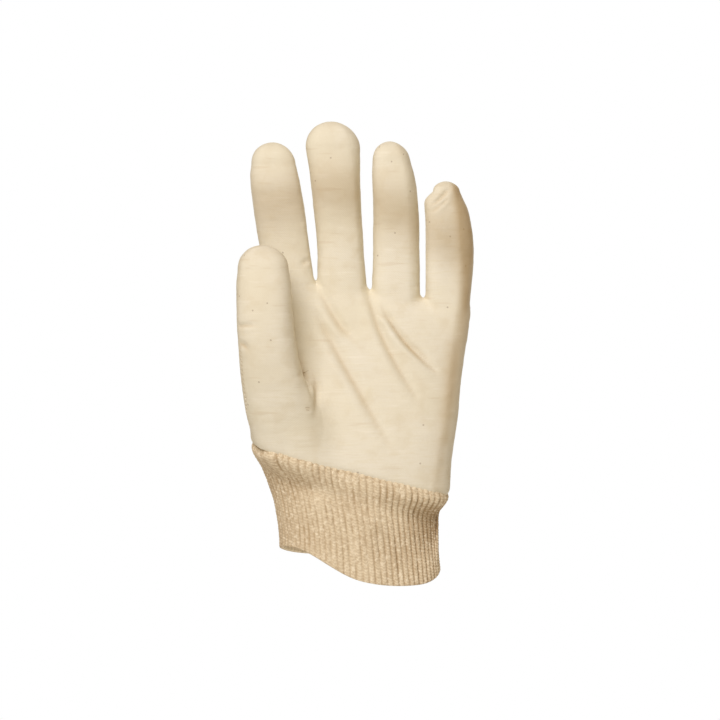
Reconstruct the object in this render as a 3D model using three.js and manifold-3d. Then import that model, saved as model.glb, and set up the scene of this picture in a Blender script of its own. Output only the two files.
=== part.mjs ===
// Cotton work glove for the left hand, seen from its palm side, with a ribbed knit wrist.
//
// The glove stands as a hand fills it: fingers up, the thumb in front of the palm, open and hollow
// from the wrist to each fingertip. Two cloth panels make the hand. The palm panel takes in the palm,
// the front of each finger and the front of the thumb; the back panel takes in the rest. They meet
// at one seam that runs round the whole outline of the hand. The knit wrist is a ribbed tube, and its
// top is tucked inside the hem of the two panels.
//
// Millimetres. +X is the little-finger side, +Y goes through the palm to the back of the hand, +Z
// goes up the fingers. The origin is the middle of the wrist opening.

import * as THREE from "three";
import Module from "manifold-3d";

const wasm = await Module();
wasm.setup();

// Walls and clearances.
const clothWall = 1.5;
const knitWall = 1.8;
const seamGap = 0.3;
const tuckGap = 0.9;

// Palm.
const palmWidth = 110;
const palmDepth = 38;
const palmHeight = 92;

// Knit wrist. The seam to the hand slopes down to the little-finger side and to the palm side.
const wristHeight = 50;
const wristWidth = 88;
const wristDepth = 48;
const tuckHeight = 6;
const seamSlopeAcross = 15;
const seamSlopeBack = 8;
const ribCount = 66;
const ribHeight = 1.2;

// Thumb, measured up from the wrist seam.
const thumbLength = 121;
const thumbWidth = 29;
const thumbDepth = 27.5;
const thumbReach = 34.5;
const thumbAside = 51;
const thumbSeamTurn = 20;

// Fingers. root is the finger's place across the palm as a share of its width, lean is the angle
// towards the thumb side in degrees, and seam is how far round the finger its seam is turned, so
// that it shows on the little-finger side of the finger's front.
const fingers = [
  { name: "index", length: 84.5, width: 26.4, depth: 21.5, root: -0.333, lean: 8, tip: 11.5, seam: 25 },
  { name: "middle", length: 95.5, width: 25.2, depth: 22, root: -0.086, lean: 3.2, tip: 14.5, seam: 42 },
  { name: "ring", length: 84.5, width: 25, depth: 21.5, root: 0.184, lean: 1.5, tip: 10, seam: 55 },
  { name: "little", length: 63, width: 25, depth: 20.5, root: 0.427, lean: 0, tip: 5.2, seam: 60 },
];

// Where the seam runs down the palm's two sides: its place in front of the middle on the
// little-finger side, and its place across on the thumb side.
const palmSeamFront = 10.6;
const palmSeamAside = 56.5;

// How finely the cloth is drawn: points round each form, the rings' distance apart and the rings in
// a round tip.
const outside = { palm: 38, finger: 14, thumb: 16, palmStep: 7, tubeStep: 14, tipRings: 3 };
const inside = { palm: 26, finger: 9, thumb: 11, palmStep: 10, tubeStep: 21, tipRings: 2 };

// Roundness of an outline: 2 is an oval, more is squarer.
const palmRoundness = 2.5;
const fingerRoundness = 2.6;
const wristRoundness = 2.2;

// Sections of each finger. up is a share of its length, wide and deep are shares of its width and
// depth, side is a share of its width, and curl is how far it bends to the palm side, as a share of
// its length. The last row is where the round tip starts.
const fingerSections = {
  index: [
    { up: -0.3, wide: 0.86, deep: 0.9, side: 0, curl: 0 },
    { up: 0, wide: 0.98, deep: 1.04, side: 0, curl: 0 },
    { up: 0.32, wide: 1, deep: 1, side: 0, curl: 0.006 },
    { up: 0.55, wide: 1.02, deep: 0.98, side: -0.01, curl: 0.036 },
    { up: 0.76, wide: 0.98, deep: 0.96, side: 0, curl: 0.1 },
    { up: 0.86, wide: 0.88, deep: 0.84, side: 0.02, curl: 0.128 },
  ],
  middle: [
    { up: -0.3, wide: 0.86, deep: 0.9, side: 0, curl: 0 },
    { up: 0, wide: 1.03, deep: 1.04, side: 0, curl: 0 },
    { up: 0.28, wide: 0.98, deep: 1, side: 0.02, curl: 0.004 },
    { up: 0.49, wide: 1, deep: 0.97, side: 0.01, curl: 0.03 },
    { up: 0.69, wide: 1.05, deep: 1, side: -0.01, curl: 0.086 },
    { up: 0.85, wide: 1.14, deep: 0.87, side: -0.02, curl: 0.128 },
  ],
  ring: [
    { up: -0.3, wide: 0.86, deep: 0.9, side: 0, curl: 0 },
    { up: 0, wide: 1.02, deep: 1.04, side: -0.02, curl: 0 },
    { up: 0.31, wide: 0.99, deep: 1, side: 0, curl: 0.005 },
    { up: 0.55, wide: 0.96, deep: 0.97, side: 0.01, curl: 0.036 },
    { up: 0.77, wide: 0.9, deep: 0.96, side: -0.02, curl: 0.1 },
    { up: 0.88, wide: 0.79, deep: 0.8, side: -0.05, curl: 0.126 },
  ],
  little: [
    { up: -0.3, wide: 0.86, deep: 0.9, side: -0.05, curl: 0 },
    { up: 0, wide: 0.97, deep: 1.04, side: 0, curl: 0 },
    { up: 0.32, wide: 1.01, deep: 1, side: 0.05, curl: 0.008 },
    { up: 0.53, wide: 1, deep: 0.98, side: 0.04, curl: 0.04 },
    { up: 0.73, wide: 0.93, deep: 0.96, side: 0, curl: 0.096 },
    { up: 0.84, wide: 0.83, deep: 0.86, side: -0.06, curl: 0.124 },
    { up: 0.92, wide: 0.56, deep: 0.66, side: -0.02, curl: 0.14 },
  ],
};

// Sections of the palm. up is a share of its height above the wrist seam, side and wide are shares
// of its width, deep is a share of its depth, and rise lifts the thumb side, as a share of its width.
const palmSections = [
  { up: -0.3, side: -0.045, wide: 0.965, deep: 1.06, rise: 0 },
  { up: -0.1, side: -0.049, wide: 0.973, deep: 1.08, rise: 0 },
  { up: 0.06, side: -0.047, wide: 0.987, deep: 1.08, rise: 0 },
  { up: 0.23, side: -0.026, wide: 0.99, deep: 1.03, rise: 0 },
  { up: 0.41, side: -0.013, wide: 0.995, deep: 0.97, rise: 0 },
  { up: 0.59, side: 0, wide: 1, deep: 0.89, rise: 0 },
  { up: 0.76, side: 0.016, wide: 1.005, deep: 0.8, rise: 0 },
  { up: 0.9, side: 0.031, wide: 1.0, deep: 0.7, rise: 0.06 },
  { up: 0.97, side: 0.042, wide: 0.99, deep: 0.6, rise: 0.1 },
  { up: 1.02, side: 0.045, wide: 0.975, deep: 0.44, rise: 0.13 },
  { up: 1.055, side: 0.045, wide: 0.95, deep: 0.26, rise: 0.13 },
];

// Sections of the thumb and of the ball of the thumb below it. up is a share of its length above the
// wrist seam, aside is a share of the thumb's distance from the middle of the palm, reach is a share
// of its distance in front, and wide and deep are shares of its width and depth.
const thumbSections = [
  { up: -0.08, aside: 0.5, reach: 0.0, wide: 1.0, deep: 1.0 },
  { up: 0.06, aside: 0.68, reach: 0.2, wide: 1.35, deep: 1.15 },
  { up: 0.18, aside: 0.76, reach: 0.37, wide: 1.38, deep: 1.24 },
  { up: 0.31, aside: 0.84, reach: 0.58, wide: 1.24, deep: 1.2 },
  { up: 0.45, aside: 0.925, reach: 0.78, wide: 1.08, deep: 1.1 },
  { up: 0.58, aside: 0.97, reach: 0.93, wide: 1, deep: 1.02 },
  { up: 0.71, aside: 0.99, reach: 0.99, wide: 0.99, deep: 0.97 },
  { up: 0.83, aside: 1.005, reach: 1.0, wide: 0.94, deep: 0.88 },
  { up: 0.89, aside: 1.01, reach: 0.99, wide: 0.88, deep: 0.8 },
];
const thumbTip = 12.5;
const webUp = 0.57;

// Folds of the palm, each a curve through three places on it. across is a share of the palm's width
// and up a share of its height. A depth above nothing is a valley, and one below it is a ridge.
const folds = [
  { name: "middle root", across: [-0.2, -0.127, -0.049], up: [1.05, 0.89, 0.79], width: 5, depth: 1.6 },
  { name: "long diagonal", across: [-0.2, -0.04, 0.123], up: [0.87, 0.52, 0.19], width: 5.5, depth: 1.5 },
  { name: "ring root", across: [0.039, 0.12, 0.26], up: [1.03, 0.75, 0.45], width: 5, depth: 1.4 },
  { name: "little diagonal", across: [0.122, 0.22, 0.357], up: [0.92, 0.75, 0.59], width: 5.5, depth: 1.8 },
  { name: "thumb tuck", across: [-0.284, -0.262, -0.25], up: [0.57, 0.46, 0.37], width: 5, depth: -0.9 },
  { name: "beside the tuck", across: [-0.235, -0.222, -0.215], up: [0.55, 0.46, 0.37], width: 5, depth: 1 },
];
const foldSteps = 12;

// Sections of the knit wrist. down is the share of the way from the hand's seam to the open rim,
// side is a share of its width, and wide and deep are shares of its width and depth.
const wristSections = [
  { down: 0.02, side: -0.069, wide: 1.215, deep: 0.83 },
  { down: 0.11, side: -0.066, wide: 1.178, deep: 0.9 },
  { down: 0.25, side: -0.053, wide: 1.083, deep: 0.83 },
  { down: 0.45, side: -0.032, wide: 1.026, deep: 0.87 },
  { down: 0.7, side: -0.013, wide: 0.994, deep: 0.92 },
  { down: 0.88, side: -0.004, wide: 0.985, deep: 0.97 },
  { down: 1, side: 0, wide: 0.991, deep: 1 },
];

// The open rim's height above the origin round the wrist, as a share of the wrist's height. turn is
// in degrees from the thumb side and goes round by the palm side.
const rimHeights = [
  { turn: 0, height: 0.185 },
  { turn: 45, height: 0.155 },
  { turn: 90, height: -0.165 },
  { turn: 135, height: -0.21 },
  { turn: 180, height: -0.06 },
  { turn: 225, height: 0.02 },
  { turn: 270, height: 0.06 },
  { turn: 315, height: 0.1 },
];

const radians = THREE.MathUtils.degToRad;
const mix = THREE.MathUtils.lerp;
const rootZ = wristHeight + palmHeight;

// The height of the seam between hand and wrist at a place on it.
function seamZ(x, y) {
  return wristHeight - x * Math.tan(radians(seamSlopeAcross)) + y * Math.tan(radians(seamSlopeBack));
}

// A number to a power, keeping its sign.
function signedPower(value, power) {
  return Math.sign(value) * Math.abs(value) ** power;
}

// The points of a rounded oblong, evenly spaced, from its +X end and round by +Y.
function oblong(width, depth, roundness, count) {
  const fine = 160;
  const points = [];
  for (let i = 0; i <= fine; i++) {
    const turn = (2 * Math.PI * i) / fine;
    const x = (width / 2) * signedPower(Math.cos(turn), 2 / roundness);
    const y = (depth / 2) * signedPower(Math.sin(turn), 2 / roundness);
    points.push(new THREE.Vector2(x, y));
  }
  return new THREE.SplineCurve(points).getSpacedPoints(count).slice(0, count);
}

// The solid between a stack of rings that have the same number of points, capped at both ends.
function loft(rings) {
  const count = rings[0].length;
  const faces = [];
  for (let i = 0; i + 1 < rings.length; i++) {
    for (let j = 0; j < count; j++) {
      const here = i * count + j;
      const next = i * count + ((j + 1) % count);
      faces.push(here, next, next + count, here, next + count, here + count);
    }
  }
  const flat = (ring) => ring.map((p) => new THREE.Vector2(p.x, p.y));
  const top = (rings.length - 1) * count;
  for (const [a, b, c] of THREE.ShapeUtils.triangulateShape(flat(rings[0]), [])) faces.push(c, b, a);
  for (const [a, b, c] of THREE.ShapeUtils.triangulateShape(flat(rings.at(-1)), [])) {
    faces.push(top + a, top + b, top + c);
  }
  return solid(rings.flat(), faces);
}

// A closed body from its points and its triangles.
function solid(points, faces) {
  const vertProperties = new Float32Array(points.flatMap((p) => [p.x, p.y, p.z]));
  return new wasm.Manifold(
    new wasm.Mesh({ numProp: 3, vertProperties, triVerts: new Uint32Array(faces) }),
  );
}

// A smooth reading of a table: the row at any height, worked out from the rows about it.
function between(rows, z) {
  const last = rows.length - 1;
  const above = rows.findIndex((row) => row.z > z);
  const i = above < 0 ? last - 1 : Math.max(0, above - 1);
  const share = THREE.MathUtils.clamp((z - rows[i].z) / (rows[i + 1].z - rows[i].z), 0, 1);
  const row = {};
  for (const key of Object.keys(rows[0])) {
    const [a, b, c, d] = [i - 1, i, i + 1, i + 2].map((k) => rows[THREE.MathUtils.clamp(k, 0, last)]);
    const before = (c[key] - a[key]) / (c.z - a.z);
    const after = (d[key] - b[key]) / (d.z - b.z);
    const run = c.z - b.z;
    const s2 = share * share;
    const s3 = s2 * share;
    row[key] =
      (2 * s3 - 3 * s2 + 1) * b[key] +
      (s3 - 2 * s2 + share) * run * before +
      (3 * s2 - 2 * s3) * c[key] +
      (s3 - s2) * run * after;
  }
  return row;
}

// A tube through a table of rows, with a round tip of its own height at the top. inset takes a
// wall's thickness off every side.
function tube(rows, tip, inset, sides, { tubeStep: step, tipRings }) {
  const bottom = rows[0].z;
  const top = rows.at(-1).z;
  const count = Math.max(2, Math.round((top - bottom) / step));
  const rings = [];
  const ring = (row, share, z) =>
    oblong((row.width - 2 * inset) * share, (row.depth - 2 * inset) * share, fingerRoundness, sides).map(
      (p) => new THREE.Vector3(row.x + p.x, row.y + p.y, z),
    );
  for (let i = 0; i <= count; i++) {
    const z = mix(bottom, top, i / count);
    rings.push(ring(between(rows, z), 1, z));
  }
  const before = between(rows, top - step);
  const end = rows.at(-1);
  const slope = { x: (end.x - before.x) / step, y: (end.y - before.y) / step };
  for (let i = 1; i <= tipRings; i++) {
    const turn = (Math.PI / 2) * (i / (tipRings + 0.35));
    const rise = (tip - inset) * Math.sin(turn);
    const row = { ...end, x: end.x + slope.x * rise, y: end.y + slope.y * rise };
    rings.push(ring(row, Math.cos(turn), top + rise));
  }
  return loft(rings);
}

// The rows of one finger in millimetres.
function fingerRows(finger) {
  return fingerSections[finger.name].map((s) => {
    const height = s.up * finger.length;
    return {
      z: rootZ + height,
      x: finger.root * palmWidth - height * Math.tan(radians(finger.lean)) + s.side * finger.width,
      y: -s.curl * finger.length,
      width: s.wide * finger.width,
      depth: s.deep * finger.depth,
    };
  });
}

// The rows of the palm in millimetres.
const palmRows = palmSections.map((s) => ({
  z: wristHeight + s.up * palmHeight,
  x: s.side * palmWidth,
  width: s.wide * palmWidth,
  depth: s.deep * palmDepth,
  rise: s.rise,
}));

// The rows of the thumb in millimetres.
const thumbRows = thumbSections.map((s) => ({
  z: wristHeight + s.up * thumbLength,
  x: -s.aside * thumbAside,
  y: -s.reach * thumbReach,
  width: s.wide * thumbWidth,
  depth: s.deep * thumbDepth,
}));

// The folds as curves on the palm's front.
const foldCurves = folds.map((fold) => {
  const [start, middle, end] = fold.across.map(
    (across, i) => new THREE.Vector2(across * palmWidth, wristHeight + fold.up[i] * palmHeight),
  );
  return { ...fold, points: new THREE.SplineCurve([start, middle, end]).getSpacedPoints(foldSteps) };
});

// How far the folds push a place on the palm's front inwards. A fold fades towards its two ends.
function foldDepth(x, z) {
  const place = new THREE.Vector2(x, z);
  let depth = 0;
  for (const fold of foldCurves) {
    let nearest = Infinity;
    let along = 0;
    fold.points.forEach((point, i) => {
      const distance = point.distanceTo(place);
      if (distance < nearest) [nearest, along] = [distance, i / foldSteps];
    });
    const fade = Math.sin(Math.PI * mix(0.12, 0.88, along));
    depth += fold.depth * fade * Math.exp(-((nearest / (fold.width / 2)) ** 2));
  }
  return depth;
}

// The palm's body, with its folds. inset takes a wall's thickness off every side.
function palmBody(inset, draw) {
  const bottom = palmRows[0].z;
  const top = palmRows.at(-1).z;
  const count = Math.round((top - bottom) / draw.palmStep);
  const rings = [];
  for (let i = 0; i <= count; i++) {
    const z = mix(bottom, top, i / count);
    const row = between(palmRows, z);
    const points = oblong(row.width - 2 * inset, row.depth - 2 * inset, palmRoundness, draw.palm);
    rings.push(
      points.map((p) => {
        const x = row.x + p.x;
        const front = THREE.MathUtils.smoothstep(-p.y / row.depth, 0.2, 0.4);
        const height = z - row.rise * x - (i === count ? inset : 0);
        return new THREE.Vector3(x, p.y + front * foldDepth(x, z), height);
      }),
    );
  }
  return loft(rings);
}

// The hand's outer form, or the hollow in it when inset is the wall.
function handBody(inset, draw) {
  let body = palmBody(inset, draw).add(tube(thumbRows, thumbTip, inset, draw.thumb, draw));
  for (const finger of fingers) {
    body = body.add(tube(fingerRows(finger), finger.tip, inset, draw.finger, draw));
  }
  return body;
}

// Everything above the hand's seam, less a gap.
function aboveSeam(gap) {
  const far = 2 * palmWidth;
  const corners = [[-far, -far], [far, -far], [far, far], [-far, far]];
  const level = (z) => corners.map(([x, y]) => new THREE.Vector3(x, y, z(x, y)));
  return loft([level((x, y) => seamZ(x, y) + gap), level(() => rootZ + 4 * palmWidth)]);
}

// The space on the palm side of the seam round the palm and the fingers, grown by grow.
function frontOfHand(grow) {
  const far = 2 * palmWidth;
  const rows = fingers.map(fingerRows);
  const webZ = wristHeight + webUp * palmHeight;
  const topZ = rootZ + 1.5 * Math.max(...fingers.map((f) => f.length));
  const palmTop = rootZ - 8;
  const heights = [-far, webZ - grow - 2, webZ - grow + 2, palmTop];
  for (let z = rootZ; z < topZ; z += 14) heights.push(z);
  return loft(
    heights.map((z) => {
      const centres = rows.map((table) => between(table, z));
      const line = [];
      centres.forEach((centre, i) => {
        const left = i === 0 ? -palmSeamAside : (centre.x + centres[i - 1].x) / 2;
        const right = i === 3 ? centre.x + centre.width : (centre.x + centres[i + 1].x) / 2;
        const turn = Math.tan(radians(fingers[i].seam));
        const reach = centre.depth / 2 + 1.2;
        const onPalm = z <= palmTop;
        const backEnd = onPalm ? centre.x - 3 : Math.max(left + 2 * seamGap, centre.x - reach / turn);
        const frontEnd = onPalm ? centre.x - 2 : Math.min(right - 2 * seamGap, centre.x + reach / turn);
        const slant = (x) => centre.y - THREE.MathUtils.clamp(turn * (x - centre.x), -reach, reach);
        const palmFront = i === 3 ? -palmSeamFront : 0;
        line.push([left - grow + 0.01, grow + (onPalm ? 0 : slant(left))]);
        line.push([backEnd, grow + (onPalm ? 0 : slant(backEnd))]);
        line.push([frontEnd, grow + (onPalm ? palmFront : slant(frontEnd))]);
        line.push([right - grow - 0.01, grow + (onPalm ? palmFront : slant(right))]);
      });
      const thumbEdge = z < webZ ? -far / 2 : line[0][1];
      const ring = [[-far, -far], [far, -far], [far, line.at(-1)[1]], ...line.reverse()];
      ring.push([-palmSeamAside - grow - 0.01, thumbEdge], [-far, thumbEdge]);
      return ring.map(([x, y]) => new THREE.Vector3(x, y, z));
    }),
  );
}

// A space a little larger than the thumb, cut by the thumb's own seam.
function thumbHalf(grow, front) {
  const region = tube(thumbRows, thumbTip, front ? -1 - grow : grow - 1, outside.thumb, outside);
  const far = 2 * palmWidth;
  const turn = Math.tan(radians(thumbSeamTurn));
  const level = (row, z) => {
    const y = (x) => row.y + turn * (x - row.x) + grow;
    const edge = front ? -far : far;
    const ring = [[-far, y(-far)], [far, y(far)], [far, edge], [-far, edge]];
    if (front) ring.reverse();
    return ring.map(([x, yy]) => new THREE.Vector3(x, yy, z));
  };
  const levels = [level(thumbRows[0], -far)];
  for (const row of thumbRows) levels.push(level(row, row.z));
  levels.push(level(thumbRows.at(-1), rootZ + far));
  return region.intersect(loft(levels));
}

// The palm side of the whole seam, grown by grow.
function palmSide(grow) {
  return frontOfHand(grow).subtract(thumbHalf(grow, false)).add(thumbHalf(grow, true));
}

// The two cloth panels, cut from one hollow hand.
function clothPanels() {
  const hand = handBody(0, outside).subtract(handBody(clothWall, inside)).intersect(aboveSeam(seamGap / 2));
  return {
    palm: hand.intersect(palmSide(-seamGap / 2)),
    back: hand.subtract(palmSide(seamGap / 2)),
  };
}

// The rim's height round the wrist, read smoothly from its table.
function rimZ(turn) {
  const step = 360 / rimHeights.length;
  const at = (((turn / step) % rimHeights.length) + rimHeights.length) % rimHeights.length;
  const i = Math.floor(at);
  const heights = [-1, 0, 1, 2].map((k) => rimHeights.at((i + k) % rimHeights.length).height);
  const curve = new THREE.SplineCurve(heights.map((h, k) => new THREE.Vector2(k, h)));
  return curve.getPoint((1 + at - i) / 3).y * wristHeight;
}

// The knit wrist: a ribbed tube whose top is tucked inside the hem of the panels.
function knitWrist() {
  const count = 2 * ribCount;
  const ribbed = (points, x, height) =>
    points.map((p, j) => {
      const depth = j % 2 ? height : 0;
      const outward = new THREE.Vector2(p.x - x, p.y).normalize();
      return new THREE.Vector3(p.x - outward.x * depth, p.y - outward.y * depth, p.z);
    });
  const ring = (row, inset, height) => {
    const x = row.side * wristWidth;
    const width = row.wide * wristWidth - 2 * inset;
    const depth = row.deep * wristDepth - 2 * inset;
    const points = oblong(width, depth, wristRoundness, count).map((p) => {
      const turn = THREE.MathUtils.radToDeg(Math.atan2(-p.y / depth, -p.x / width));
      const z = mix(seamZ(x + p.x, p.y) - seamGap / 2, rimZ(turn), row.down);
      return new THREE.Vector3(x + p.x, p.y, z);
    });
    return ribbed(points, x, height);
  };
  const hem = between(palmRows, wristHeight);
  const hemRing = (inset, lift, height) => {
    const points = oblong(hem.width - 2 * inset, hem.depth - 2 * inset, palmRoundness, count).map((p) => {
      const place = new THREE.Vector3(p.x, p.y, wristHeight);
      for (let i = 0; i < 4; i++) {
        const row = between(palmRows, place.z);
        place.x = row.x + (p.x * (row.width - 2 * inset)) / (hem.width - 2 * inset);
        place.y = (p.y * (row.depth - 2 * inset)) / (hem.depth - 2 * inset);
        place.z = seamZ(place.x, place.y) + lift;
      }
      return place;
    });
    return ribbed(points, hem.x, height);
  };
  const tucked = clothWall + tuckGap;
  const wall = (rows, inset, height) => [
    ...rows.toReversed().map((row) => ring(row, inset, height)),
    hemRing(tucked + inset, -seamGap / 2, height),
    hemRing(tucked + inset, tuckHeight, height),
  ];
  const innerRows = wristSections.filter((row, i) => i % 3 === 0);
  return bandOf(wall(wristSections, 0, ribHeight), wall(innerRows, ribHeight + knitWall, 0));
}

// A tube with a wall, from the rings of its outside and of its inside, bottom to top.
function bandOf(outer, inner) {
  const count = outer[0].length;
  const rings = [...outer, ...inner.toReversed()];
  const faces = [];
  for (let i = 0; i < rings.length; i++) {
    for (let j = 0; j < count; j++) {
      const up = ((i + 1) % rings.length) * count;
      const here = i * count;
      const next = (j + 1) % count;
      faces.push(here + j, here + next, up + next, here + j, up + next, up + j);
    }
  }
  return solid(rings.flat(), faces);
}

// A named mesh of a finished body.
function piece(name, body, material) {
  const { vertProperties, triVerts } = body.getMesh();
  const geometry = new THREE.BufferGeometry();
  geometry.setAttribute("position", new THREE.BufferAttribute(vertProperties, 3));
  geometry.setIndex(new THREE.BufferAttribute(triVerts, 1));
  geometry.computeVertexNormals();
  const mesh = new THREE.Mesh(geometry, material);
  mesh.name = name;
  return mesh;
}

const cottonCloth = new THREE.MeshStandardMaterial({ color: "#e9dcc2", roughness: 0.95, metalness: 0 });
const cottonKnit = new THREE.MeshStandardMaterial({ color: "#d9c19d", roughness: 0.95, metalness: 0 });

const glove = new THREE.Group();
glove.name = "cotton_work_glove";
const panels = clothPanels();
glove.add(piece("palm_panel", panels.palm, cottonCloth));
glove.add(piece("back_panel", panels.back, cottonCloth));
glove.add(piece("knit_wrist", knitWrist(), cottonKnit));

export default glove;
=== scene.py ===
"""Dresses the cotton work glove: two cloth panels, a ribbed knit wrist, the seam thread and the stage."""

import math

import bpy
import numpy as np
from bpy.props import FloatProperty, IntProperty, PointerProperty
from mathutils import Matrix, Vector, kdtree, noise


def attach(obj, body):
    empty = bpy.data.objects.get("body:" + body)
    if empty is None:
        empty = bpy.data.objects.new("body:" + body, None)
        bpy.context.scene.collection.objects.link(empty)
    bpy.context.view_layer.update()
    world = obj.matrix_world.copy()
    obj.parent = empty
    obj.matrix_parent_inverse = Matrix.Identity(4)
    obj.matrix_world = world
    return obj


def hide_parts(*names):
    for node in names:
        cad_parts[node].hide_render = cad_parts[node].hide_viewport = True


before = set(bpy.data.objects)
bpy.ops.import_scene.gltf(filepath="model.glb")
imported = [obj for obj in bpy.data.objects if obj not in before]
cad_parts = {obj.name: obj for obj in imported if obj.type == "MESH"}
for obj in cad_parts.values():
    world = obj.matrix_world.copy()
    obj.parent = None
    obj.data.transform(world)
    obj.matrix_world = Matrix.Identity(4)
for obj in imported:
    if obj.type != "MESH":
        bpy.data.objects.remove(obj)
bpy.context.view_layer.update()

bl_info = {
    "name": "Cotton work glove",
    "version": (1, 0, 0),
    "blender": (4, 5, 0),
    "location": "3D view > Sidebar > Glove",
    "description": "Builds the cloth, knit and thread of a cotton work glove",
    "category": "Object",
}

MM = 0.001

# Sizes in millimetres and turns in degrees, named as in the solids.
PALM_WIDTH = 110
PALM_DEPTH = 38
PALM_HEIGHT = 92
WRIST_HEIGHT = 50
WRIST_WIDTH = 88
WRIST_DEPTH = 48
SEAM_SLOPE_ACROSS = 15
SEAM_SLOPE_BACK = 8
THUMB_LENGTH = 121
THUMB_WIDTH = 29
THUMB_DEPTH = 27.5
THUMB_REACH = 34.5
THUMB_ASIDE = 51
THUMB_TIP = 13.0
THUMB_SEAM_TURN = 20

# How square a section is: 2 is an oval, more is squarer.
PALM_ROUNDNESS = 2.75
FINGER_ROUNDNESS = 2.6
WRIST_ROUNDNESS = 2.2
UV_ROUNDNESS = 2.5

# In millimetres: the heights of the finger roots and of the web beside the thumb, the run that gives a tip
# its slope, the rounding at a form's foot and at the palm's top, and the blend at each finger's root.
ROOT_Z = WRIST_HEIGHT + PALM_HEIGHT
WEB_Z = 102
TIP_SLOPE_RUN = 14
FOOT_RUN = 8.0
PALM_TOP_RUN = 2.5
CROTCH_REACH = (4.5, 4.5, 3.5, 3.0)
# In millimetres: how far the cloth reaches below the hem line, and the line between the panels past the form.
HEM_DROP = 0.15
PAST_FORM = 1.2


def table(columns, rows):
    """A table as one array for each named column."""
    return dict(zip(columns.split(), np.array(rows, float).T))


# Each finger's sizes in millimetres, its root as a share of the palm's width, its lean and the turn of its
# seam in degrees, the height of its rounded tip, and the turn of its front as a slope.
FINGERS = {
    name: dict(zip("length width depth root lean tip seam turn".split(), row))
    for name, row in {
        "index": (84.5, 26.4, 21.5, -0.333, 8, 11.3, 25, 0),
        "middle": (95.5, 25.2, 22, -0.086, 3.2, 13.8, 42, 0.04),
        "ring": (84.5, 25, 21.5, 0.184, 1.5, 10, 55, 0.08),
        "little": (63, 25, 20.5, 0.427, 0, 5.2, 60, 0.2),
    }.items()
}
# Sections: the height as a share of the length, the width and depth as shares, and the shift to the side.
FINGER_COLUMNS = "up wide deep side"
FINGER_SECTIONS = {
    "index": table(FINGER_COLUMNS, [
        (-0.3, 0.86, 0.9, 0), (0, 0.98, 1.04, 0), (0.32, 1, 1, 0), (0.54, 1.02, 0.98, -0.01),
        (0.76, 0.98, 0.96, 0), (0.86, 0.88, 0.84, 0.02),
    ]),
    "middle": table(FINGER_COLUMNS, [
        (-0.3, 0.86, 0.9, 0), (0, 1.03, 1.04, 0), (0.28, 0.98, 1, 0.02), (0.48, 1, 0.97, 0.01),
        (0.69, 1.05, 1, -0.01), (0.85, 1.14, 0.87, -0.02),
    ]),
    "ring": table(FINGER_COLUMNS, [
        (-0.3, 0.86, 0.9, 0), (0, 1.0, 1.04, -0.03), (0.31, 0.99, 1, 0), (0.55, 0.96, 0.97, 0.01),
        (0.77, 0.9, 0.96, -0.02), (0.88, 0.79, 0.8, -0.05),
    ]),
    "little": table(FINGER_COLUMNS, [
        (-0.3, 0.86, 0.9, -0.05), (0, 0.95, 1.04, 0.015), (0.32, 1.01, 1, 0.05), (0.53, 1, 0.98, 0.04),
        (0.73, 0.93, 0.96, 0), (0.84, 0.83, 0.86, -0.06), (0.92, 0.56, 0.66, -0.02),
    ]),
}
# How far each finger curls forward, as a share of its length.
FINGER_CURLS = {
    name: table("up curl", [(-0.3, 0), (0, 0), *rows])
    for name, rows in {
        "index": [(0.3, 0.004), (0.47, 0.024), (0.72, 0.112), (0.86, 0.134)],
        "middle": [(0.28, 0.003), (0.44, 0.022), (0.68, 0.106), (0.85, 0.134)],
        "ring": [(0.26, 0.003), (0.43, 0.024), (0.68, 0.114), (0.88, 0.138)],
        "little": [(0.2, 0.004), (0.36, 0.026), (0.62, 0.114), (0.92, 0.15)],
    }.items()
}
# The palm's sections, with the slant of each, and the thumb's and the wrist's, all as shares.
PALM_SECTIONS = table("up side wide deep rise", [
    (-0.3, -0.045, 0.965, 1.06, 0), (-0.1, -0.049, 0.973, 1.08, 0), (0.06, -0.047, 0.987, 1.08, 0),
    (0.23, -0.026, 0.99, 1.03, 0), (0.41, -0.013, 0.995, 0.97, 0), (0.59, 0, 1, 0.89, 0),
    (0.76, 0.016, 1.005, 0.8, 0), (0.9, 0.031, 1.0, 0.7, 0.06), (0.97, 0.042, 0.99, 0.6, 0.1),
    (1.02, 0.045, 0.975, 0.44, 0.13), (1.055, 0.045, 0.95, 0.26, 0.13),
])
THUMB_SECTIONS = table("up aside reach wide deep", [
    (-0.08, 0.6, 0.1, 1.0, 1.08), (0.06, 0.73, 0.24, 1.18, 1.16), (0.18, 0.79, 0.38, 1.26, 1.2),
    (0.31, 0.86, 0.57, 1.26, 1.18), (0.45, 0.935, 0.78, 1.12, 1.1), (0.58, 0.98, 0.93, 1.03, 1.02),
    (0.71, 1.0, 0.99, 1.01, 0.97), (0.83, 1.01, 1.0, 0.97, 0.88), (0.89, 1.015, 0.99, 0.91, 0.8),
])
WRIST_SECTIONS = table("down side wide deep", [
    (0.0, -0.069, 1.19, 0.86), (0.04, -0.069, 1.2, 0.9), (0.11, -0.066, 1.178, 0.9),
    (0.25, -0.053, 1.083, 0.83), (0.45, -0.032, 1.026, 0.87), (0.7, -0.013, 0.994, 0.92),
    (0.88, -0.004, 0.985, 0.97), (1, 0, 0.991, 1),
])
# The rim's height round the wrist by degrees from the thumb side, going round by the palm side.
RIM = table("turn height", [
    (0, 0.165), (45, 0.15), (90, -0.18), (135, -0.225), (180, -0.075), (225, 0.02), (270, 0.06), (315, 0.1),
])
# The seam down the thumb side, as its place in front of the middle at each height.
THUMB_SIDE_SEAM = table("z y", [
    (37, -2), (57, -3.5), (72, -12), (87, -26), (104, -34.4), (120, -40), (136, -42), (165, -43),
])
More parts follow.
